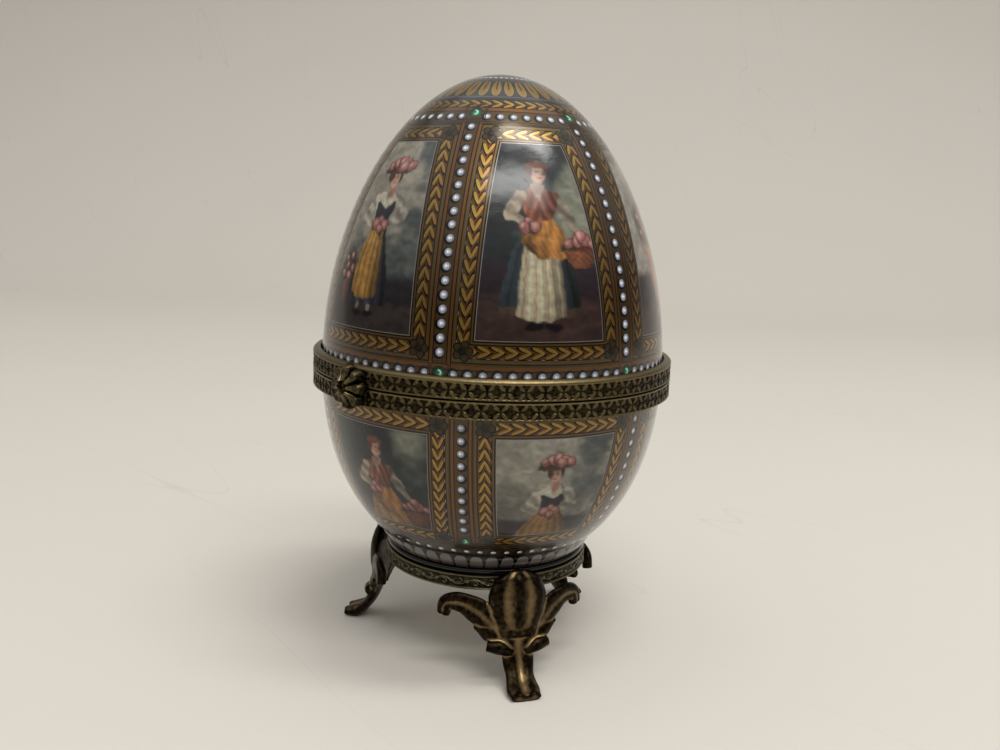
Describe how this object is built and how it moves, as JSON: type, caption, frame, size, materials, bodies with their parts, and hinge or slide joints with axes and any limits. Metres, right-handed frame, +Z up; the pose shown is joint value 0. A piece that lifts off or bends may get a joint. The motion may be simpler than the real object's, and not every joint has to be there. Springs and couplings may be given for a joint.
{
  "type": "jewelled egg trinket box",
  "caption": "Footed egg-shaped trinket box: printed porcelain lid and bowl with brass collars, back hinge, rosette clasp, brass ring and cast legs.",
  "frame": {"origin": "on the surface the box stands on, under the egg's axis", "axes": "+Z up along the egg's axis; the clasp faces -Y and the hinge is at +Y"},
  "size_m": [0.092, 0.0988, 0.1472],
  "materials": {
    "lid_porcelain": "glossy glaze over a printed and gilded decoration outside, white glaze inside",
    "bowl_porcelain": "glossy glaze over a printed and gilded decoration outside, white glaze inside",
    "lid_collar_brass": "stamped flower diaper, dark antique patina, worn edges",
    "bowl_collar_brass": "stamped flower diaper, dark antique patina, worn edges",
    "clasp_brass": "stamped petals, dark antique patina, rubbed high spots",
    "hinge_brass": "dark antique patina",
    "pin_brass": "dull drawn wire",
    "ring_brass": "stamped arabesque leaves, grey-green antique patina",
    "leg_brass": "cast acanthus, brown-black patina, rubbed golden toes"
  },
  "bodies": {
    "base": {"egg_bowl": "bowl_porcelain", "bowl_collar": "bowl_collar_brass", "hinge_leaf_bowl": "hinge_brass", "hinge_pin": "pin_brass", "stand_ring": "ring_brass", "leg_right": "leg_brass", "leg_back": "leg_brass", "leg_left": "leg_brass"},
    "lid": {"egg_lid": "lid_porcelain", "lid_collar": "lid_collar_brass", "clasp_rosette": "clasp_brass", "hinge_leaf_lid": "hinge_brass"}
  },
  "joints": [
    {"name": "lid_hinge", "type": "hinge", "parent": "base", "child": "lid", "pos_m": [0, 0.04785, 0.074], "axis": [-1, 0, 0], "range_deg": [0, 95]}
  ]
}
